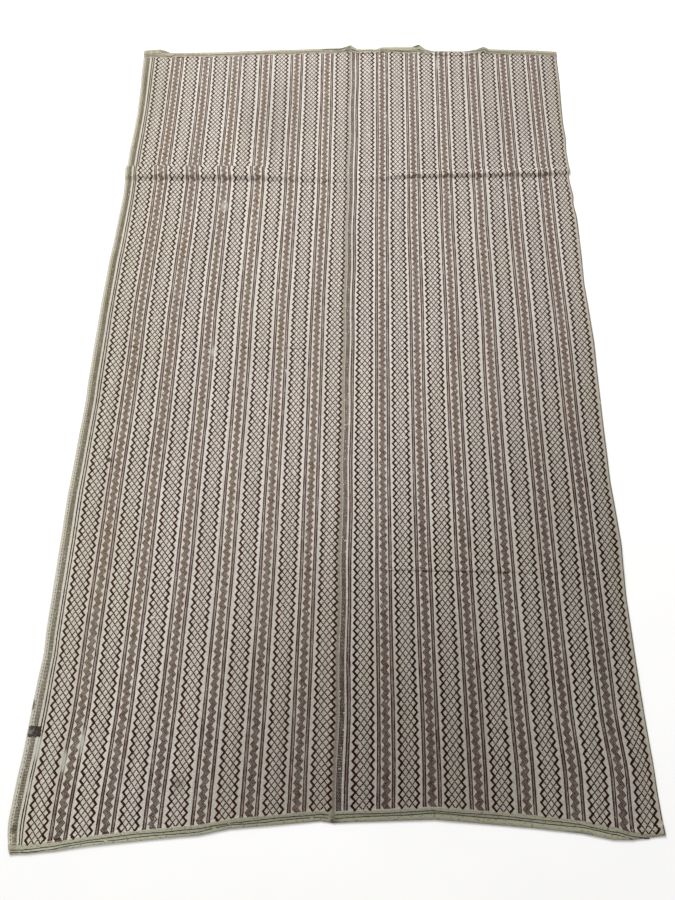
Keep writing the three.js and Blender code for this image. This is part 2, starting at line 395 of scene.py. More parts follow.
def mesh_from(name, points, faces):
    """A mesh object from an array of points and a list of arrays of faces of one size each."""
    mesh = bpy.data.meshes.new(name)
    corners = np.concatenate([f.ravel() for f in faces]).astype(np.int32)
    sizes = np.concatenate([np.full(len(f), f.shape[1]) for f in faces]).astype(np.int32)
    starts = np.concatenate([[0], np.cumsum(sizes)[:-1]]).astype(np.int32)
    mesh.vertices.add(len(points))
    mesh.vertices.foreach_set("co", points.astype(np.float32).ravel())
    mesh.loops.add(len(corners))
    mesh.loops.foreach_set("vertex_index", corners)
    mesh.polygons.add(len(sizes))
    mesh.polygons.foreach_set("loop_start", starts)
    mesh.polygons.foreach_set("use_smooth", np.ones(len(sizes), bool))
    mesh.update(calc_edges=True)
    piece = bpy.data.objects.new(name, mesh)
    scene.collection.objects.link(piece)
    return piece


def close_sheet(name, x, y, low, high):
    """A closed sheet on a grid of points, its faces on top, then underneath, then round the rim."""
    points = np.concatenate([np.stack([x, y, z], -1).reshape(-1, 3) for z in (low, high)])
    grid = np.arange(x.size).reshape(x.shape)
    top = grid + grid.size
    upper = np.stack([top[:-1, :-1], top[:-1, 1:], top[1:, 1:], top[1:, :-1]], -1).reshape(-1, 4)
    lower = np.stack([grid[:-1, :-1], grid[1:, :-1], grid[1:, 1:], grid[:-1, 1:]], -1).reshape(-1, 4)
    rim = np.concatenate([grid[0, :-1], grid[:-1, -1], grid[-1, :0:-1], grid[:0:-1, 0]])
    after = np.roll(rim, -1)
    sides = np.stack([rim, after, after + grid.size, rim + grid.size], -1)
    return mesh_from(name, points, [np.concatenate([upper, lower, sides])])


def lay_map(piece, name, places):
    """A UV map with one place for each point of the mesh."""
    layer = piece.data.uv_layers.new(name=name)
    corners = np.empty(len(piece.data.loops), np.int32)
    piece.data.loops.foreach_get("vertex_index", corners)
    layer.uv.foreach_set("vector", places[corners].astype(np.float32).ravel())


def weave_ground(side):
    """The closed sheet of one loom width, its points on the stripes' edges, hems and creases."""
    width = WIDTHS[side]
    stations = ground_stations(width)
    rows = ground_rows()
    across = np.tile(stations, (len(rows), 1))
    y = np.array([
        (1 - share) * (along(low, "y", stations) + low_step)
        + share * (along(high, "y", stations) + high_step)
        for low, low_step, high, high_step, share in rows
    ])
    x = cloth_x(across, y)
    inner = 0 if side == "right" else -1
    x[:, inner] += SEAM_GAP / 2 if side == "right" else -SEAM_GAP / 2
    low = underside(across, y)
    piece = close_sheet(f"{side}_ground", x, y, low, low + thickness(across, y))
    weave = np.stack([across, pattern_rise(across, y)], -1).reshape(-1, 2)
    lay_map(piece, "weave", np.concatenate([weave, weave]))
    pink = piece.data.attributes.new("pink", "FLOAT", "POINT")
    pink.data.foreach_set("value", np.tile(pink_mask(width, across).ravel(), 2).astype(np.float32))
    faces_on_top = (len(rows) - 1) * (len(stations) - 1)
    slots = np.zeros(len(piece.data.polygons), np.int32)
    slots[faces_on_top:2 * faces_on_top] = 1
    piece.data.polygons.foreach_set("material_index", slots)
    return piece


def new_group(name, inputs, outputs):
    """An empty shader node group with named inputs and outputs."""
    group = bpy.data.node_groups.new(name, "ShaderNodeTree")
    for label, kind, value in inputs:
        socket = group.interface.new_socket(label, in_out="INPUT", socket_type=kind)
        socket.default_value = value
    for label, kind in outputs:
        group.interface.new_socket(label, in_out="OUTPUT", socket_type=kind)
    return group, group.nodes.new("NodeGroupInput"), group.nodes.new("NodeGroupOutput")


def add_node(tree, kind, settings=(), values=(), links=()):
    """One node with its settings, the values of its inputs and what is linked into them."""
    node = tree.nodes.new(kind)
    for name, value in dict(settings).items():
        setattr(node, name, value)
    for name, value in dict(values).items():
        node.inputs[name].default_value = value
    for name, source in dict(links).items():
        tree.links.new(source, node.inputs[name])
    return node


def calculate(tree, operation, *inputs):
    """One Math node. Each of its inputs is a number or a socket."""
    node = add_node(tree, "ShaderNodeMath", {"operation": operation})
    for socket, value in zip(node.inputs, inputs):
        if isinstance(value, (int, float)):
            socket.default_value = value
        else:
            tree.links.new(value, socket)
    return node.outputs[0]


def product(tree, first, *others):
    for other in others:
        first = calculate(tree, "MULTIPLY", first, other)
    return first


def largest(tree, first, *others):
    for other in others:
        first = calculate(tree, "MAXIMUM", first, other)
    return first


def mix_colours(tree, share, first, second, blend="MIX"):
    """One Mix node for colours. Each input is a value or a socket."""
    node = add_node(tree, "ShaderNodeMix", {"data_type": "RGBA", "blend_type": blend})
    for name, value in (("Factor_Float", share), ("A_Color", first), ("B_Color", second)):
        socket = next(s for s in node.inputs if s.identifier == name)
        if isinstance(value, (int, float)):
            socket.default_value = value
        elif isinstance(value, tuple):
            socket.default_value = (*value, 1.0)
        else:
            tree.links.new(value, socket)
    return next(s for s in node.outputs if s.identifier == "Result_Color")


def tinted(tree, colour, tint):
    return mix_colours(tree, 1.0, colour, tint, "MULTIPLY")


def ramp_between(tree, value, low, high, start=0.0, end=1.0):
    node = add_node(
        tree, "ShaderNodeMapRange", {"interpolation_type": "SMOOTHSTEP"},
        {"From Min": low, "From Max": high, "To Min": start, "To Max": end}, {"Value": value},
    )
    return node.outputs["Result"]


def grey_of(tree, value):
    links = {"Red": value, "Green": value, "Blue": value}
    return add_node(tree, "ShaderNodeCombineColor", links=links).outputs[0]


def cloth_place(tree):
    return add_node(tree, "ShaderNodeTexCoord").outputs["Object"]


def weave_place(tree):
    return add_node(tree, "ShaderNodeUVMap", {"uv_map": "weave"}).outputs["UV"]


def split_place(tree, place):
    node = add_node(tree, "ShaderNodeSeparateXYZ", links={"Vector": place})
    return node.outputs["X"], node.outputs["Y"]


def stretched(tree, place, scale):
    """A place counted in cells of its own size across and along the cloth."""
    values = {"Scale": (*scale, 1.0)}
    return add_node(tree, "ShaderNodeMapping", values=values, links={"Vector": place}).outputs[0]


def noise(tree, place, scale=1.0, detail=2.0, roughness=0.5):
    values = {"Scale": scale, "Detail": detail, "Roughness": roughness}
    return add_node(tree, "ShaderNodeTexNoise", values=values, links={"Vector": place}).outputs["Fac"]


# Age and use: soft marks that lie over the whole cloth, which bleach the dye or leave a stain; a few
# dark ones are painted shadow. Each is an oval with a ragged rim: its place and its half width and half
# length, in mm, and its strength.
MARKS = {
    "Bleached": [
        (-572, -970, 6.5, 27, 0.8), (-540, -932, 6.5, 30, 0.8), (-632, -940, 7, 38, 0.75),
        (-637, -1022, 6, 18, 0.6), (-350, 489, 13, 26, 0.4), (285, 1065, 8, 28, 0.45),
        (-340, 13, 10, 16, 0.6),
    ],
    # Painted shadow among these: the spots at the far hem's puckered peaks, at x -2, 218 and 425 mm, are
    # painted fold shadows, and the wide faint mark over the far right corner is painted shade.
    "Stains And Painted Shade": [
        (-220, 833, 130, 190, 0.15), (560, 980, 300, 380, 0.09), (-610, 1000, 90, 220, 0.10),
        (-330, -1008, 20, 13, 0.4), (-653, -1096, 9, 12, 0.75), (-572, -295, 7, 7, 1.0),
        (-657, -860, 5, 14, 0.9), (-588, 1099, 22, 9, 0.6), (218, 1134, 13, 9, 0.95),
        (425, 1132, 10, 8, 0.95), (-52, 1124, 62, 10, 0.95), (-2, 1124, 12, 26, 0.6),
        (-2, -1075, 14, 12, 0.5), (490, -1085, 40, 6, 0.45),
    ],
}
MARK_RIM = 1.15
MARK_CORE = 0.35
RIM_RAGGED = 0.45
# The direction in which the painted shade deepens, toward the near right corner.
PAINTED_SHADE_RUN = (0.55, -0.8, 0.0)


def make_old_marks_and_painted_shade():
    """The bleached marks, the stain marks, some of them painted shadow, and the painted shade toward the near
    right corner.
    """
    outputs = [(kind, "NodeSocketFloat") for kind in (*MARKS, "Painted Shade")]
    group, _, result = new_group("old_marks_and_painted_shade", [], outputs)
    place = cloth_place(group)
    shift = calculate(group, "MULTIPLY_ADD", noise(group, place, 38.0, 4.0), 2 * RIM_RAGGED, -RIM_RAGGED)
    for kind, marks in MARKS.items():
        strengths = []
        for x, y, wide, long, strength in marks:
            size = Vector((1 / (wide * MM), 1 / (long * MM), 0.0))
            centre = (-x * MM * size.x, -y * MM * size.y, 0.0)
            moved = add_node(
                group, "ShaderNodeVectorMath", {"operation": "MULTIPLY_ADD"},
                {1: size, 2: centre}, {0: place},
            ).outputs[0]
            away = add_node(group, "ShaderNodeVectorMath", {"operation": "LENGTH"}, links={0: moved})
            rim = calculate(group, "ADD", away.outputs["Value"], shift)
            strengths.append(ramp_between(group, rim, MARK_RIM, MARK_CORE, 0.0, strength))
        group.links.new(largest(group, *strengths), result.inputs[kind])
    # Painted shade: the cloth grows greyer toward its near right corner.
    run = add_node(
        group, "ShaderNodeVectorMath", {"operation": "DOT_PRODUCT"}, {1: PAINTED_SHADE_RUN}, {0: place},
    ).outputs["Value"]
    group.links.new(ramp_between(group, run, 0.05, 1.05), result.inputs["Painted Shade"])
    return group


THREAD_BEND = 2.2
SLUB_CELLS = (520.0, 60.0)
STREAK_CELLS = (110.0, 2.5)


def make_woven_threads():
    """Plain weave: crossed threads with slubs, as a height, and the shade of the slubs and streaks."""
    group, given, result = new_group(
        "woven_threads",
        [("Warp Pitch", "NodeSocketFloat", 0.9 * MM), ("Weft Pitch", "NodeSocketFloat", 1.1 * MM),
         ("Slub", "NodeSocketFloat", 0.5)],
        [("Height", "NodeSocketFloat"), ("Slubs", "NodeSocketFloat"), ("Streaks", "NodeSocketFloat")],
    )
    weave = weave_place(group)
    bend = calculate(group, "MULTIPLY_ADD", noise(group, weave, 55.0, 3.0), THREAD_BEND, 0.5)
    turns = []
    for place, pitch in zip(split_place(group, weave), ("Warp Pitch", "Weft Pitch")):
        count = calculate(group, "DIVIDE", place, given.outputs[pitch])
        phase = calculate(group, "MULTIPLY_ADD", count, math.pi, bend)
        turns.append(calculate(group, "SINE", phase))
    crossed = calculate(group, "ABSOLUTE", product(group, *turns))
    slubs = noise(group, stretched(group, weave, SLUB_CELLS), detail=3.0, roughness=0.6)
    streaks = noise(group, stretched(group, weave, STREAK_CELLS))
    height = calculate(group, "MULTIPLY_ADD", slubs, given.outputs["Slub"], crossed)
    for name, value in (("Height", height), ("Slubs", slubs), ("Streaks", streaks)):
        group.links.new(value, result.inputs[name])
    return group


old_marks_and_painted_shade = make_old_marks_and_painted_shade()
woven_threads = make_woven_threads()


def put_group(tree, group, values=()):
    node = tree.nodes.new("ShaderNodeGroup")
    node.node_tree = group
    for name, value in dict(values).items():
        node.inputs[name].default_value = value
    return node


def start_material(name, roughness=0.92, sheen=0.12, specular=0.2):
    """A material with one Principled shader, matt as cotton is."""
    material = bpy.data.materials.new(name)
    material.use_nodes = True
    tree = material.node_tree
    shader = tree.nodes["Principled BSDF"]
    shader.inputs["Roughness"].default_value = roughness
    shader.inputs["Sheen Weight"].default_value = sheen
    shader.inputs["Sheen Roughness"].default_value = 0.6
    shader.inputs["Specular IOR Level"].default_value = specular
    return material, tree, shader


def add_bump(tree, shader, height, strength, distance):
    values = {"Strength": strength, "Distance": distance}
    bump = add_node(tree, "ShaderNodeBump", values=values, links={"Height": height})
    tree.links.new(bump.outputs["Normal"], shader.inputs["Normal"])


CREAM = (0.660, 0.628, 0.580)
CREAM_PINK = (0.630, 0.575, 0.525)
YELLOWED = (0.540, 0.520, 0.375)
YELLOW_BLOTCH = (0.610, 0.560, 0.450)
MOTTLE_PALE = (1.16, 1.15, 1.13)
MOTTLE_DARK = (0.84, 0.86, 0.85)
HEADING_SOILED = (0.410, 0.402, 0.300)
NEAR_HEM_YELLOWED = (0.600, 0.595, 0.450)
OLIVE_AGED = (0.235, 0.196, 0.104)
# Dark brown beside the seam: soil and the turned selvedge, and painted shadow of the seam's groove.
SEAM_SOIL_AND_SHADE = (0.295, 0.235, 0.175)
BLEACHED = (0.600, 0.620, 0.530)
# The dark of the stains, and also of the painted shadow marks.
STAIN_AND_PAINTED_SHADE = (0.075, 0.065, 0.035)
# The grey that painted shade multiplies into a colour.
PAINTED_SHADE_GREY = (0.60, 0.590, 0.568)
YARN_BEHIND = (0.12, 0.05, 0.045)
FLECK_CELLS = (150.0, 330.0)
FLECK_DARKNESS = 0.68
FAR_END_YELLOWED = 0.5
FAR_END_OLIVE = 0.38
GROUND_BLEACHED = 0.35

# Where age has changed the ground, and where painted shade greys it. Each place is a product of ramps:
# the direction, where the ramp starts and ends in mm, and its two values. Across and rise count in the
# weave, x and y on the floor.
AGE_AND_PAINTED_SHADE_PLACES = {
    "near_heading": [("rise", 0, -3, 0, 0.9)],
    "near_end": [("rise", -12, -15, 0, 0.9)],
    "far_end": [("rise", 2171, 2178, 0, 1)],
    "left_part": [("across", -400, -640, 0, 0.3)],
    "left_band": [
        ("across", -634, -640, 0, 1), ("across", -648.5, -651.5, 1, 0.2), ("y", -1000, 200, 0.35, 0.68),
    ],
    "first_stripe": [("across", -619, -622, 0, 1), ("across", -634, -631, 0, 1), ("y", -800, 900, 0, 0.5)],
    "seam_left": [("across", -6.5, -3.5, 0, 1), ("across", 0.5, -0.5, 0, 1), ("y", -1000, 1000, 1, 0.6)],
    "seam_right": [("across", 4.5, 3, 0, 1), ("across", -0.5, 0.5, 0, 1), ("y", 100, 1000, 1, 0.25)],
    "right_side": [("across", 610, 656, 0, 0.45)],
    "right_rim": [("across", 643, 648, 0, 1), ("y", -800, 900, 0, 0.5)],
    # Painted shade: these three places set where the ground is made greyer, toward the near middle and the
    # right, and less on the left.
    "near_middle_painted_shade": [("x", -450, 100, 0, 0.45), ("x", 500, 250, 0, 1), ("y", -200, -1000, 0, 1)],
    "right_outer_painted_shade": [("x", 150, 500, 0, 1), ("y", -900, -300, 0, 1), ("y", 0, 900, 0.36, 0.14)],
    "painted_shade_but_left": [("x", -150, -550, 1, 0.2)],
}


def age_and_painted_shade_places(tree, place, weave):
    ways = dict(zip(("x", "y", "across", "rise"), split_place(tree, place) + split_place(tree, weave)))
    found = {}
    for name, ramps in AGE_AND_PAINTED_SHADE_PLACES.items():
        found[name] = product(tree, *(
            ramp_between(tree, ways[way], low * MM, high * MM, start, end)
            for way, low, high, start, end in ramps
        ))
    return found


def in_painted_shade(tree, colour, share):
    """A colour made greyer by painted shade, by a share."""
    return tinted(tree, colour, mix_colours(tree, share, (1.0, 1.0, 1.0), PAINTED_SHADE_GREY))


def ground_colour(tree, threads, marks):
    """Cream cotton, pinker between the lattice lines, olive at the left and far edges."""
    place = cloth_place(tree)
    weave = weave_place(tree)
    age_and_painted_shade = age_and_painted_shade_places(tree, place, weave)
    cloudy = noise(tree, place, 5.0, 5.0)
    flecked = noise(tree, stretched(tree, weave, FLECK_CELLS), roughness=0.7)
    pink = add_node(tree, "ShaderNodeAttribute", {"attribute_name": "pink"}).outputs["Fac"]
    colour = mix_colours(tree, pink, CREAM, CREAM_PINK)
    streaks = ramp_between(tree, threads.outputs["Streaks"], 0.3, 0.7, 0.88, 1.06)
    slubs = ramp_between(tree, threads.outputs["Slubs"], 0.3, 0.7, 0.88, 1.07)
    colour = tinted(tree, colour, grey_of(tree, product(tree, streaks, slubs)))
    colour = mix_colours(tree, ramp_between(tree, cloudy, 0.5, 0.72, 0.0, 0.45), colour, YELLOW_BLOTCH)
    mottle = mix_colours(tree, ramp_between(tree, flecked, 0.32, 0.68), MOTTLE_DARK, MOTTLE_PALE)
    colour = tinted(tree, colour, mottle)

    colour = mix_colours(tree, age_and_painted_shade["near_heading"], colour, HEADING_SOILED)
    colour = mix_colours(tree, age_and_painted_shade["near_end"], colour, NEAR_HEM_YELLOWED)
    far_yellowed = product(tree, age_and_painted_shade["far_end"], FAR_END_YELLOWED)
    yellower = largest(tree, age_and_painted_shade["right_side"], age_and_painted_shade["left_part"], far_yellowed)
    colour = mix_colours(tree, yellower, colour, YELLOWED)
    olive = largest(tree, age_and_painted_shade["left_band"], product(tree, age_and_painted_shade["far_end"], FAR_END_OLIVE))
    uneven = ramp_between(tree, cloudy, 0.3, 0.6, 0.75, 1.0)
    colour = mix_colours(tree, product(tree, olive, uneven), colour, OLIVE_AGED)
    # Beside the seam the ground is darker: partly soil and the brown of the turned selvedge, partly painted
    # shadow in the seam's groove and beside its stitches.
    seam = calculate(tree, "ADD", age_and_painted_shade["seam_left"], age_and_painted_shade["seam_right"])
    soil_and_painted_shade = product(tree, seam, ramp_between(tree, flecked, 0.35, 0.6, 0.4, 0.9))
    soil_and_painted_shade = largest(tree, soil_and_painted_shade, age_and_painted_shade["first_stripe"], age_and_painted_shade["right_rim"])
    colour = mix_colours(tree, soil_and_painted_shade, colour, SEAM_SOIL_AND_SHADE)
    ends = largest(tree, age_and_painted_shade["near_heading"], age_and_painted_shade["far_end"])
    flecks = product(tree, ramp_between(tree, flecked, 0.52, 0.66), ends, FLECK_DARKNESS)
    colour = mix_colours(tree, flecks, colour, STAIN_AND_PAINTED_SHADE)
    bleached = product(tree, marks.outputs["Bleached"], GROUND_BLEACHED)
    colour = mix_colours(tree, bleached, colour, BLEACHED)
    # The stain marks, with the painted fold shadows and painted shade among them.
    colour = mix_colours(tree, marks.outputs["Stains And Painted Shade"], colour, STAIN_AND_PAINTED_SHADE)
    # Painted shade: the ground turns greyer toward the near right corner, less on the left, and more in the
    # near middle and the right outer part.
    colour = in_painted_shade(tree, colour, product(tree, marks.outputs["Painted Shade"], age_and_painted_shade["painted_shade_but_left"]))
    return in_painted_shade(tree, colour, largest(tree, age_and_painted_shade["near_middle_painted_shade"], age_and_painted_shade["right_outer_painted_shade"]))


def make_ground_weave(name, yarn_behind=0.0):
    """Plain weave. The pattern yarn may show through as broken flecks, as on the back of the cloth."""
    material, tree, shader = start_material(name)
    threads = put_group(tree, woven_threads, {"Slub": 0.6})
    colour = ground_colour(tree, threads, put_group(tree, old_marks_and_painted_shade))
    if yarn_behind:
        cells = stretched(tree, weave_place(tree), (420.0, 230.0))
        flecks = add_node(tree, "ShaderNodeTexVoronoi", values={"Scale": 1.0}, links={"Vector": cells})
        pattern = add_node(tree, "ShaderNodeAttribute", {"attribute_name": "pink"}).outputs["Fac"]
        share = product(
            tree, ramp_between(tree, flecks.outputs["Distance"], 0.55, 0.25), pattern, yarn_behind,
        )
        colour = mix_colours(tree, share, colour, YARN_BEHIND)
    tree.links.new(colour, shader.inputs["Base Color"])
    add_bump(tree, shader, threads.outputs["Height"], 0.55, 0.5 * MM)
    return material


ground_weave = make_ground_weave("ground_weave")
reverse_weave = make_ground_weave("reverse_weave", yarn_behind=0.75)
for side in WIDTHS:
    ground = weave_ground(side)
    ground.data.materials.append(ground_weave)
    ground.data.materials.append(reverse_weave)
    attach(ground, "root")
    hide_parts(NODES[side])


# The lattice columns.
# Seven on each width: dark maroon cotton floats on top of the ground in small lozenges, three
# across, with a thick zigzag line down each side. The weaver lifts a few warps for each short float,
# so a slanting line is a row of short floats, close together one way and open the other way.
LATTICE_CELL = LATTICE_WIDTH / 3
OUTLINE_INNER = 13.5 * MM
OUTLINE_OUTER = 20.8 * MM
OUTLINE_WIDE = 4.5 * MM
OUTLINE_HIGH = 0.6 * MM
NET_WIDE = 2.35 * MM
NET_HIGH = 0.42 * MM
FLOATS_PER_OUTLINE = 4
OUTLINE_PAST_TIP = 0.05
SUNK = 0.25 * MM
MOST_SAG = 0.15 * MM
CUT_OVERLAP = 0.1
FLOAT_SHAKE = 0.22 * MM
TIP_OF_LENGTH = 0.28
TIP_OF_WIDTH = 0.4
chance = np.random.default_rng(11)
on_ground = {side: [] for side in WIDTHS}


def follow_folds(starts, ends):
    """Cuts a float in two where a fold bends the cloth under it."""
    for _ in range(2):
        middles = (starts + ends) / 2
        first, middle, last = (
            surface(p[:, 0], pattern_y(p[:, 0], p[:, 1])) for p in (starts, middles, ends)
        )
        bent = np.abs(middle - (first + last) / 2) > MOST_SAG
        overlap = (ends - starts) * CUT_OVERLAP
        starts, ends = (
            np.concatenate([starts, (middles - overlap)[bent]]),
            np.concatenate([np.where(bent[:, None], middles + overlap, ends), ends[bent]]),
        )
    return starts, ends


def lay_floats(name, side, runs, wide, high, yarn, shake=FLOAT_SHAKE, missing=0.0):
    """A piece of short floats of yarn on one width. Each is a low ridge between two places."""
    starts, ends = runs
    kept = chance.random(len(starts)) >= missing
    starts, ends = follow_folds(starts[kept], ends[kept])
    count = len(starts)
    move = chance.normal(0, shake / 2, (count, 2))
    starts = starts + move
    ends = ends + move
    high = high * chance.uniform(0.8, 1.2, count)
    foot = wide * chance.uniform(0.88, 1.12, count) * (high + SUNK) / high
    run = ends - starts
    length = np.linalg.norm(run, axis=1)
    run = run / length[:, None]
    over = np.stack([-run[:, 1], run[:, 0]], -1) * foot[:, None] / 2
    tip = run * np.minimum(TIP_OF_LENGTH * length, TIP_OF_WIDTH * wide)[:, None]
    corners = [starts + over, starts - over, ends - over, ends + over, starts + tip, ends - tip]
    corners = np.stack(corners + [(starts + ends) / 2], 1)
    width = WIDTHS[side]
    across = np.clip(corners[..., 0], width["start"] + 0.5 * MM, width["end"] - 0.5 * MM)
    y = pattern_y(across, corners[..., 1])
    z = surface(across, y)
    sag = np.maximum(z[:, 6] - (z[:, 4] + z[:, 5]) / 2, 0)
    lift = np.stack([np.full(count, -SUNK)] * 4 + [high, high], 1)
    points = np.stack([cloth_x(across, y), y, z + sag[:, None]], -1)[:, :6]
    points[..., 2] += lift
    points = points.reshape(-1, 3)
    flat = corners[:, :6].reshape(-1, 2)
    first = np.arange(count)[:, None] * 6
    slopes = np.concatenate([first + [1, 2, 5, 4], first + [3, 0, 4, 5]])
    tips = np.concatenate([first + [0, 1, 4], first + [2, 3, 5]])
    piece = mesh_from(name, points, [slopes, tips])
    lay_map(piece, "weave", flat)
    low, span = points[:, :2].min(0), np.ptp(points[:, :2], axis=0)
    lay_map(piece, "OFBake", (points[:, :2] - low) / span)
    piece.data.materials.append(yarn)
    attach(piece, "root")
    on_ground[side].append(piece)


def split_runs(starts, ends, parts, gap=0.0, overlap=0.0):
    """Cuts each run into equal floats, with a gap or an overlap where two of them meet."""
    shares = np.arange(parts + 1) / parts
    pieces = []
    for low, high in zip(shares[:-1], shares[1:]):
        trim = (gap - overlap) / (2 * parts)
        pieces.append((starts + (ends - starts) * (low + trim), starts + (ends - starts) * (high - trim)))
    return np.concatenate([p[0] for p in pieces]), np.concatenate([p[1] for p in pieces])


def runs_in_columns(width, centres, repeat_runs):
    """Repeats a list of runs, given in shares of the repeat, up each column of a width."""
    repeat = PATTERN_LENGTH / width["repeats"]
    runs = np.array(repeat_runs, float)
    rows = np.arange(width["repeats"])
    starts, ends = [], []
    for centre in centres:
        for store, part in ((starts, runs[:, :2]), (ends, runs[:, 2:])):
            x = np.tile(centre + part[:, 0], len(rows))
            rise = (rows[:, None] + part[:, 1]).ravel() * repeat
            store.append(np.stack([x, rise], -1))
    return np.concatenate(starts), np.concatenate(ends)


half = LATTICE_CELL / 2
tip_past = 2 * OUTLINE_PAST_TIP * (OUTLINE_OUTER - OUTLINE_INNER)
outline_near, outline_far = OUTLINE_INNER - tip_past, OUTLINE_OUTER + tip_past
OUTLINE_RUNS = [
    (side * outline_near, -OUTLINE_PAST_TIP, side * outline_far, 0.5 + OUTLINE_PAST_TIP) for side in (-1, 1)
] + [
    (side * outline_far, 0.5 - OUTLINE_PAST_TIP, side * outline_near, 1 + OUTLINE_PAST_TIP)
    for side in (-1, 1)
]
# The net inside: lines that rise to the right and lines that rise to the left, four steps each
RISING_RUNS = [
    (step * half, 0.5 * (step % 2), (step + 1) * half, 0.5 * (step % 2) + 0.5) for step in range(-2, 2)
]
FALLING_RUNS = [(-x0, low, -x1, high) for x0, low, x1, high in RISING_RUNS]


# The share of the stain marks, painted shadows among them, that darkens the yarn.
YARN_STAIN_AND_SHADE_SHARE = 0.6
TWIST_SLANT = 0.6


def make_yarn(name, colour, faded, twist=1.3 * MM, fade_by_noise=0.18, paler_by_painted_light=0.0):
    """Dyed cotton yarn: twisted, uneven in colour, paler as painted light to the far left, bleached where the
    cloth is.
    """
    material, tree, shader = start_material(name, roughness=0.95, sheen=0.02, specular=0.08)
    weave = weave_place(tree)
    marks = put_group(tree, old_marks_and_painted_shade)
    worn = ramp_between(tree, noise(tree, weave, 14.0, 6.0), 0.45, 0.8, 0.0, fade_by_noise)
    # Painted light: the yarn is paler where the painted shade is least, most toward the far left.
    paler = ramp_between(tree, marks.outputs["Painted Shade"], 0.7, 0.0, 0.0, paler_by_painted_light)
    base = mix_colours(tree, largest(tree, worn, paler), colour, faded)
    shade = ramp_between(tree, noise(tree, weave, 900.0), 0.25, 0.75, 0.7, 1.35)
    shaded = tinted(tree, base, grey_of(tree, shade))
    # The stain marks, some of them painted shadow, and the cloth's painted shade darken the yarn as they do
    # the ground.
    stain_and_shade_marked = mix_colours(tree, product(tree, marks.outputs["Stains And Painted Shade"], YARN_STAIN_AND_SHADE_SHARE), shaded, STAIN_AND_PAINTED_SHADE)
    bleached = mix_colours(tree, marks.outputs["Bleached"], stain_and_shade_marked, BLEACHED)
    tree.links.new(in_painted_shade(tree, bleached, marks.outputs["Painted Shade"]), shader.inputs["Base Color"])
    x, y = split_place(tree, weave)
    turned = calculate(tree, "ADD", x, product(tree, y, TWIST_SLANT))
    strand = calculate(tree, "SINE", product(tree, turned, 2 * math.pi / twist))
    add_bump(tree, shader, strand, 0.5, 0.3 * MM)
    return material


BROWN_MAROON = (0.041, 0.0130, 0.0065)
MAROON = (0.028, 0.0062, 0.0060)
MAROON_FADED = (0.180, 0.098, 0.070)
maroon_yarn = {
    "left": make_yarn("brown_maroon_yarn", BROWN_MAROON, MAROON_FADED, paler_by_painted_light=0.07),
    "right": make_yarn("maroon_yarn", MAROON, MAROON_FADED, paler_by_painted_light=0.08),
}

for side, width in WIDTHS.items():
    runs = runs_in_columns(width, width["lattices"], OUTLINE_RUNS)
    runs = split_runs(*runs, FLOATS_PER_OUTLINE, overlap=0.35)
    lay_floats(
        f"{side}_lattice_edges", side, runs, OUTLINE_WIDE, OUTLINE_HIGH, maroon_yarn[side],
        missing=0.001,
    )

    close_runs, open_runs = (FALLING_RUNS, RISING_RUNS) if side == "left" else (RISING_RUNS, FALLING_RUNS)
    close = split_runs(*runs_in_columns(width, width["lattices"], close_runs), 2, overlap=0.1)
    loose = split_runs(*runs_in_columns(width, width["lattices"], open_runs), 1, gap=0.22)
    runs = [np.concatenate(both) for both in zip(close, loose)]
    lay_floats(f"{side}_lattice_net", side, runs, NET_WIDE, NET_HIGH, maroon_yarn[side], missing=0.002)


# The zigzag columns.
# Six on each width, between the lattices: five thin lines of maroon cotton nested in one zigzag
# band, floated over the ground as the lattices are.
ZIGZAG_LINES = 5
ZIGZAG_LINE_STEP = 2.75 * MM
ZIGZAG_SWING = 6.6 * MM
ZIGZAG_WIDE = 1.74 * MM
ZIGZAG_HIGH = 0.38 * MM
ZIGZAG_PAST_TIP = 0.03
ZIGZAG_SHAKE = 0.08 * MM
ZIGZAG_BROWN = (0.055, 0.020, 0.009)
ZIGZAG_MAROON = (0.054, 0.016, 0.011)
ZIGZAG_FADED = (0.220, 0.138, 0.088)
zigzag_yarn = {
    "left": make_yarn("brown_zigzag_yarn", ZIGZAG_BROWN, ZIGZAG_FADED, fade_by_noise=0.1, paler_by_painted_light=0.35),
    "right": make_yarn("zigzag_yarn", ZIGZAG_MAROON, ZIGZAG_FADED, fade_by_noise=0.1, paler_by_painted_light=0.24),
}
zigzag_reach = ZIGZAG_SWING * (1 + 4 * ZIGZAG_PAST_TIP) / 2
ZIGZAG_RUNS = []
for line in range(ZIGZAG_LINES):
    middle = (line - (ZIGZAG_LINES - 1) / 2) * ZIGZAG_LINE_STEP
    low, high = middle - zigzag_reach, middle + zigzag_reach
    ZIGZAG_RUNS.append((high, -ZIGZAG_PAST_TIP, low, 0.5 + ZIGZAG_PAST_TIP))
    ZIGZAG_RUNS.append((low, 0.5 - ZIGZAG_PAST_TIP, high, 1 + ZIGZAG_PAST_TIP))

for side, width in WIDTHS.items():
    runs = split_runs(*runs_in_columns(width, width["zigzags"], ZIGZAG_RUNS), 2, overlap=0.1)
    lay_floats(
        f"{side}_zigzags", side, runs, ZIGZAG_WIDE, ZIGZAG_HIGH, zigzag_yarn[side],
        shake=ZIGZAG_SHAKE, missing=0.002,
    )


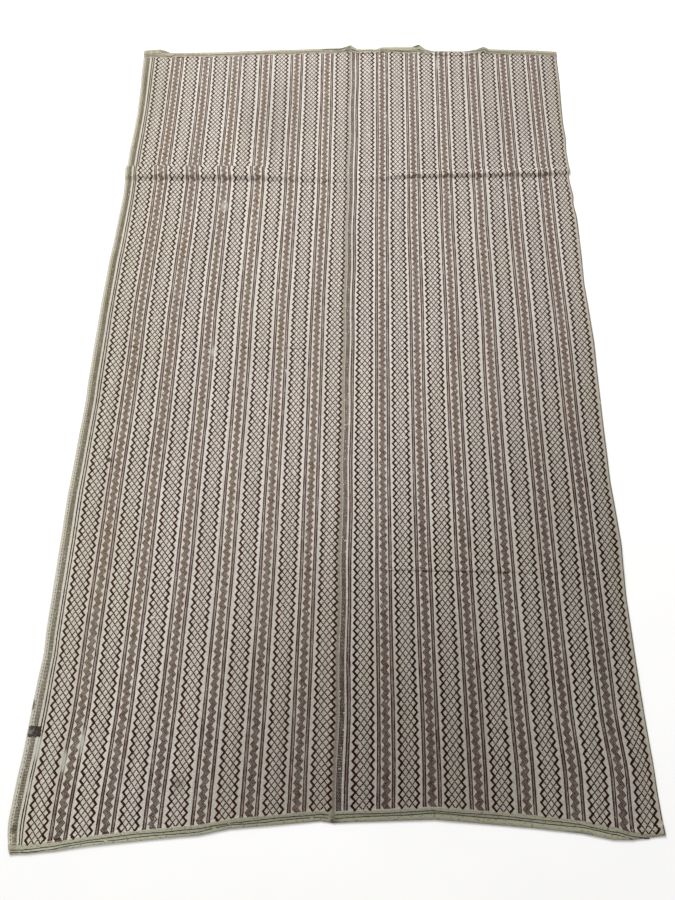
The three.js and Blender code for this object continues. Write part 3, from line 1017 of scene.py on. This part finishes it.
# The double lines.
# Two warp lines of dark maroon cotton with a faded mauve one between them are woven in on each side
# of every zigzag column. One more pair before the first lattice has mauve only beside the seam.
LINE_WIDE = 2.6 * MM
LINE_HIGH = 0.4 * MM
LINE_APART = 5.5 * MM
FIRST_LINE_APART = 5.3 * MM
MAUVE_WIDE = 2.9 * MM
MAUVE_HIGH = 0.6 * LINE_HIGH
LINE_FLOAT = 6.5 * MM
LINE_OVERLAP = 1 * MM
LINE_SWAY = 0.35 * MM
LINE_SWAY_PACE = 61 * MM
MAUVE = (0.190, 0.115, 0.110)
MAUVE_FADED = (0.37, 0.30, 0.265)
mauve_yarn = make_yarn("mauve_yarn", MAUVE, MAUVE_FADED, fade_by_noise=0.4, paler_by_painted_light=0.45)


def straight_floats(places, length, gap=0.0):
    """Floats one after another up the cloth at each place, from the first row of pattern to the last."""
    count = int(PATTERN_LENGTH / length)
    edges = np.linspace(0, PATTERN_LENGTH, count + 1)
    starts, ends = [], []
    for place in places:
        sway = LINE_SWAY * np.sin(edges / LINE_SWAY_PACE + place * 900)
        starts.append(np.stack([place + sway[:-1], edges[:-1] + gap / 2], -1))
        ends.append(np.stack([place + sway[1:], edges[1:] - gap / 2], -1))
    return np.concatenate(starts), np.concatenate(ends)


for side, width in WIDTHS.items():
    first, others = width["lines"][0], width["lines"][1:]
    dark = [first - FIRST_LINE_APART / 2, first + FIRST_LINE_APART / 2]
    dark += [place + away for place in others for away in (-LINE_APART / 2, LINE_APART / 2)]
    runs = straight_floats(dark, LINE_FLOAT, gap=-LINE_OVERLAP)
    lay_floats(f"{side}_dark_lines", side, runs, LINE_WIDE, LINE_HIGH, maroon_yarn[side], missing=0.0006)
    mauve = others if side == "left" else width["lines"]
    runs = straight_floats(mauve, LINE_FLOAT, gap=-LINE_OVERLAP)
    lay_floats(f"{side}_mauve_lines", side, runs, MAUVE_WIDE, MAUVE_HIGH, mauve_yarn)


# The speckled bands.
# Along the left selvedge of each width is woven a band of tiny cotton chevrons, olive-brown at the
# cloth's edge and brown-maroon beside the seam. A dashed line lies outside it at the left edge, and
# a thin dark thread runs beside the cloth's right edge.
BANDS = {
    "left": {"before": 44.3 * MM, "wide": 9.9 * MM, "dash": 2.0 * MM},
    "right": {"before": 43.3 * MM, "wide": 9.6 * MM, "dash": 3.0 * MM},
}
BAND_ROW = 2.9 * MM
BAND_DASHES = 4
BAND_TILT = 1.7 * MM
BAND_HIGH = 0.4 * MM
EDGE_THREAD_IN = 1.6 * MM
EDGE_DASHES_IN = 6 * MM
EDGE_WIDE = 1.4 * MM
EDGE_HIGH = 0.38 * MM
EDGE_DASH, EDGE_DASH_GAP = 7 * MM, 3 * MM
EDGE_FLOAT, EDGE_OVERLAP = 8 * MM, 1 * MM
OLIVE_BROWN = (0.050, 0.028, 0.009)
OLIVE_BROWN_FADED = (0.170, 0.122, 0.052)
olive_brown_yarn = make_yarn("olive_brown_yarn", OLIVE_BROWN, OLIVE_BROWN_FADED, fade_by_noise=0.1)
SEAM_BAND = (0.040, 0.016, 0.011)
SEAM_BAND_FADED = (0.160, 0.105, 0.070)
seam_band_yarn = make_yarn("seam_band_yarn", SEAM_BAND, SEAM_BAND_FADED, paler_by_painted_light=0.55)
BAND_YARNS = {"left": (olive_brown_yarn, "olive_yarn"), "right": (seam_band_yarn, "maroon_yarn")}

for side, width in WIDTHS.items():
    band = BANDS[side]
    rows = np.arange(int(PATTERN_LENGTH / BAND_ROW)) * BAND_ROW
    reach = band["wide"] / BAND_DASHES
    starts, ends = [], []
    for i in range(BAND_DASHES):
        low = width["lattices"][0] - band["before"] - band["wide"] / 2 + i * reach
        tilt = BAND_TILT if i % 2 else -BAND_TILT
        starts.append(np.stack([np.full(len(rows), low), rows + (BAND_ROW - tilt) / 2], -1))
        ends.append(np.stack([np.full(len(rows), low + reach), rows + (BAND_ROW + tilt) / 2], -1))
    runs = np.concatenate(starts), np.concatenate(ends)
    yarn, slot = BAND_YARNS[side]
    lay_floats(f"{side}_speckled_band", side, runs, band["dash"], BAND_HIGH, yarn, missing=0.02)

    if side == "left":
        runs = straight_floats([width["start"] + EDGE_DASHES_IN], EDGE_DASH, gap=EDGE_DASH_GAP)
    else:
        runs = straight_floats([width["end"] - EDGE_THREAD_IN], EDGE_FLOAT, gap=-EDGE_OVERLAP)
    lay_floats(
        f"{side}_edge_threads", side, runs, EDGE_WIDE, EDGE_HIGH, olive_brown_yarn,
        missing=0.02,
    )


# The hem lines.
# In the heading at each end the weaver threw two wefts of dark olive cotton right across, a few
# millimetres apart, before the plain hem.
HEM_LINES = (7.5 * MM, 12.5 * MM)
HEM_LINE_WIDE = 1.6 * MM
HEM_LINE_HIGH = 0.4 * MM
HEM_FLOAT = 7 * MM
HEM_OVERLAP = 0.8 * MM
HEM_LINE_MARGIN = 3 * MM
HEM_LINE_ROOM = 2 * MM
HEM_SWAYS = [(0.6 * MM, 23 * MM, 900), (0.5 * MM, 61 * MM, 300)]
OLIVE = (0.045, 0.043, 0.025)
OLIVE_FADED = (0.12, 0.115, 0.07)
olive_yarn = make_yarn("olive_yarn", OLIVE, OLIVE_FADED)

for side, width in WIDTHS.items():
    edges = np.arange(width["start"] + HEM_LINE_MARGIN, width["end"] - HEM_LINE_MARGIN, HEM_FLOAT)
    starts, ends = [], []
    for line in HEM_LINES:
        for rise in (-line, PATTERN_LENGTH + 0.75 * line):
            sway = sum(high * np.sin(edges / pace + line * shift) for high, pace, shift in HEM_SWAYS)
            line_y = rise + sway
            room = along(NEAR_HEADING if rise < 0 else FAR_HEADING, "depth", edges)
            shown = (room[:-1] > line + HEM_LINE_ROOM) & (room[1:] > line + HEM_LINE_ROOM)
            starts.append(np.stack([edges[:-1], line_y[:-1]], -1)[shown])
            ends.append(np.stack([edges[1:] + HEM_OVERLAP, line_y[1:]], -1)[shown])
    runs = np.concatenate(starts), np.concatenate(ends)
    lay_floats(
        f"{side}_hem_lines", side, runs, HEM_LINE_WIDE, HEM_LINE_HIGH, olive_yarn,
        missing=0.012,
    )


# The middle seam.
# The two selvedges are whipped together by hand in small slanting stitches of cotton thread, which
# was pale and is now soiled.
SEAM_NEAR = -1068 * MM
SEAM_FAR = 1120 * MM
STITCH_STEP = 6.5 * MM
STITCH_REACH = 3.8 * MM
STITCH_HALF_WIDE = 0.7 * MM
STITCH_HALF_HIGH = 0.3 * MM
STITCH_SLANT = 1.1 * MM
STITCH_ARCH = 0.55 * MM
STITCH_SUNK = 0.15 * MM
THREAD = (0.31, 0.29, 0.235)
THREAD_AGED = (0.20, 0.18, 0.14)
sewing_thread = make_yarn("sewing_thread", THREAD, THREAD_AGED, twist=0.8 * MM)


def sew_seam():
    """Each stitch is a low arch over the seam, of six rings of three points."""
    y = np.arange(SEAM_NEAR, SEAM_FAR, STITCH_STEP)
    y = y + chance.uniform(-1.2, 1.2, len(y)) * MM
    reach = STITCH_REACH * chance.uniform(0.75, 1.25, len(y))
    share = np.linspace(-1, 1, 6)
    across = share * reach[:, None]
    run = y[:, None] + share * STITCH_SLANT
    z = surface(across, run) + (1 - share ** 2) * STITCH_ARCH - STITCH_SUNK
    x = cloth_x(across, run)
    points = np.stack([
        np.stack([x, run + side * STITCH_HALF_WIDE, z + up * STITCH_HALF_HIGH], -1)
        for side, up in ((-1, -1), (0, 1), (1, -1))
    ], 2).reshape(-1, 3)
    rings = np.arange(len(points)).reshape(len(y), len(share), 3)
    low, high = rings[:, :-1], rings[:, 1:]
    quads = np.stack([low, high, np.roll(high, -1, -1), np.roll(low, -1, -1)], -1).reshape(-1, 4)
    tips = np.concatenate([rings[:, 0], rings[:, -1, ::-1]])
    piece = mesh_from("seam_stitches", points, [quads, tips])
    lay_map(piece, "weave", points[:, :2])
    return piece


seam_stitches = sew_seam()
seam_stitches.data.materials.append(sewing_thread)
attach(seam_stitches, "root")
on_ground["left"].append(seam_stitches)


# The mend.
# A scrap of grey and dark brown cotton is sewn over a worn hole beside the left edge, near the front.
MEND_LOW, MEND_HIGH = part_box("edge_mend")
MEND_PUCKERS = 0.25 * MM
MEND_FOLD = 0.5 * MM
MEND_FULL = 0.9 * MM
MEND_THICK = 0.3 * MM
MEND_SUNK = 0.1 * MM
MEND_BROWN = (0.035, 0.020, 0.012)
MEND_BROWN_WORN = (0.09, 0.07, 0.05)
MEND_GREY = (0.17, 0.165, 0.16)
MEND_DARK = (0.045, 0.042, 0.038)
FOLD_WOBBLE = 3 * MM
FOLD_BLUR = 1.5 * MM


def sew_mend():
    """A small puckered patch whose edge is turned under and whose middle is a little full."""
    u, v = np.meshgrid(np.linspace(-1, 1, 27), np.linspace(-1, 1, 21))
    centre = (MEND_LOW + MEND_HIGH) / 2
    half_x, half_y = (MEND_HIGH.x - MEND_LOW.x) / 2, (MEND_HIGH.y - MEND_LOW.y) / 2
    wave = 0.04 * np.sin(9 * v) + 0.03 * np.sin(17 * v + 1)
    x = centre.x + half_x * u * (0.94 + wave) * (1 - 0.04 * v)
    y = centre.y + half_y * v * (0.93 + 0.05 * np.sin(8 * u) + 0.03 * np.sin(15 * u + 2))
    rim = np.maximum(np.abs(u), np.abs(v))
    puckers = MEND_PUCKERS * np.sin(11 * u + 3 * v) * np.cos(9 * v) * rim
    fold = MEND_FOLD * np.exp(-((u + 0.02 + 0.15 * v) / 0.08) ** 2)
    high = MEND_FULL * (1 - smooth((rim - 0.8) / 0.2)) + puckers * (rim < 0.97) + fold * (rim < 0.9)
    base = surface(x, y)
    piece = close_sheet("mend_patch", x, y, base - MEND_SUNK, base + MEND_THICK + high)
    places = np.stack([x, y], -1).reshape(-1, 2)
    lay_map(piece, "weave", np.concatenate([places, places]))
    return piece


def make_mend_cloth():
    """Two scraps in one patch: worn grey to the left of its fold, dark brown to the right."""
    material, tree, shader = start_material("mend_cloth")
    threads = put_group(tree, woven_threads, {"Warp Pitch": 0.7 * MM, "Weft Pitch": 0.7 * MM, "Slub": 0.4})
    place = cloth_place(tree)
    blotch = noise(tree, place, 130.0, 5.0)
    fold = (MEND_LOW.x + MEND_HIGH.x) / 2
    wobble = calculate(tree, "MULTIPLY_ADD", blotch, 2 * FOLD_WOBBLE, -FOLD_WOBBLE)
    across = calculate(tree, "ADD", split_place(tree, place)[0], wobble)
    grey = mix_colours(tree, ramp_between(tree, blotch, 0.42, 0.62), MEND_DARK, MEND_GREY)
    brown = mix_colours(tree, ramp_between(tree, blotch, 0.5, 0.75), MEND_BROWN, MEND_BROWN_WORN)
    past_fold = ramp_between(tree, across, fold - FOLD_BLUR, fold + FOLD_BLUR)
    shade = ramp_between(tree, threads.outputs["Slubs"], 0.3, 0.7, 0.75, 1.25)
    colour = tinted(tree, mix_colours(tree, past_fold, grey, brown), grey_of(tree, shade))
    tree.links.new(colour, shader.inputs["Base Color"])
    add_bump(tree, shader, threads.outputs["Height"], 0.6, 0.4 * MM)
    return material


mend_patch = sew_mend()
mend_patch.data.materials.append(make_mend_cloth())
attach(mend_patch, "root")
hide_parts("edge_mend")
on_ground["left"].append(mend_patch)


# The setting: a plain white floor under a wide soft light from beyond the far hem, with an even
# pale surround, as a cloth laid out near a window.
FLOOR_SIZE = 14.0
FLOOR_BELOW = 0.3 * MM
LAMP_SIZE = 2.6
LAMP_POWER = 520.0
LAMP_PLACE = (-2.2, 5.2, 3.9)
SURROUND = (1.0, 0.99, 0.97)
SURROUND_STRENGTH = 0.58


def lay_floor():
    reach = FLOOR_SIZE / 2
    points = np.array([(-reach, -reach, 0), (reach, -reach, 0), (reach, reach, 0), (-reach, reach, 0)], float)
    points[:, 2] = -FLOOR_BELOW
    floor = mesh_from("floor", points, [np.array([[0, 1, 2, 3]])])
    material, tree, shader = start_material("white_floor", roughness=0.9, sheen=0.0)
    tone = ramp_between(tree, noise(tree, cloth_place(tree), 3.0), 0.3, 0.7, 0.955, 0.975)
    tree.links.new(grey_of(tree, tone), shader.inputs["Base Color"])
    floor.data.materials.append(material)


def hang_lamp():
    lamp = bpy.data.objects.new("window_light", bpy.data.lights.new("window_light", "AREA"))
    lamp.data.shape = "SQUARE"
    lamp.data.size = LAMP_SIZE
    lamp.data.energy = LAMP_POWER
    lamp.location = LAMP_PLACE
    lamp.rotation_euler = (-Vector(LAMP_PLACE)).to_track_quat("-Z", "Y").to_euler()
    scene.collection.objects.link(lamp)


def set_surround():
    world = bpy.data.worlds.new("pale_room")
    world.use_nodes = True
    world.node_tree.nodes["Background"].inputs["Color"].default_value = (*SURROUND, 1.0)
    world.node_tree.nodes["Background"].inputs["Strength"].default_value = SURROUND_STRENGTH
    scene.world = world


lay_floor()
hang_lamp()
set_surround()
scene.view_settings.view_transform = "Standard"
